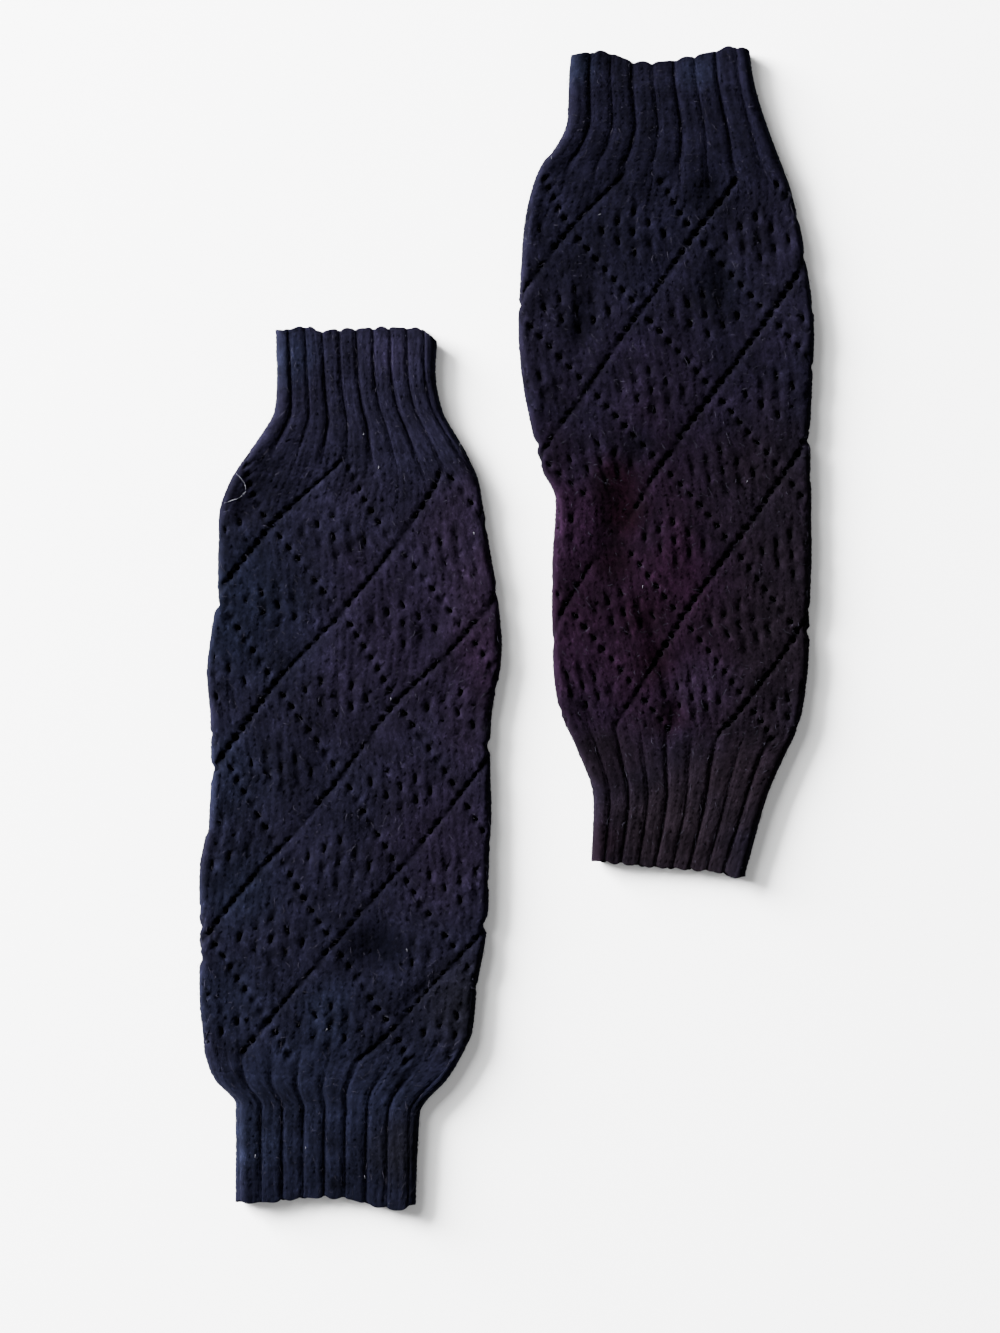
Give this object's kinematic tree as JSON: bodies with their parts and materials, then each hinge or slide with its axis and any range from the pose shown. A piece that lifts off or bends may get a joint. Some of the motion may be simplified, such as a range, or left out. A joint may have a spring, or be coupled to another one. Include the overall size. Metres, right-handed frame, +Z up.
{
  "type": "pair of knitted arm warmers",
  "caption": "Pair of knitted arm warmers lying flat: open tubes with ribbed cuffs at both ends and a lace body with a diamond lattice of eyelets.",
  "frame": {"origin": "middle of the pair's footprint, on the surface that both warmers lie on", "axes": "+Y along the warmers towards the top of the picture, +X to the right, +Z up from the surface"},
  "size_m": [0.2456, 0.4637, 0.0063],
  "materials": {
    "rib_knit": "matte wool rib, dark navy",
    "lace_knit": "matte wool lace knit, dark navy with a plum cast"
  },
  "bodies": {
    "root": {"left_top_cuff": "rib_knit", "left_body": "lace_knit", "left_bottom_cuff": "rib_knit", "right_top_cuff": "rib_knit", "right_body": "lace_knit", "right_bottom_cuff": "rib_knit"}
  },
  "joints": []
}
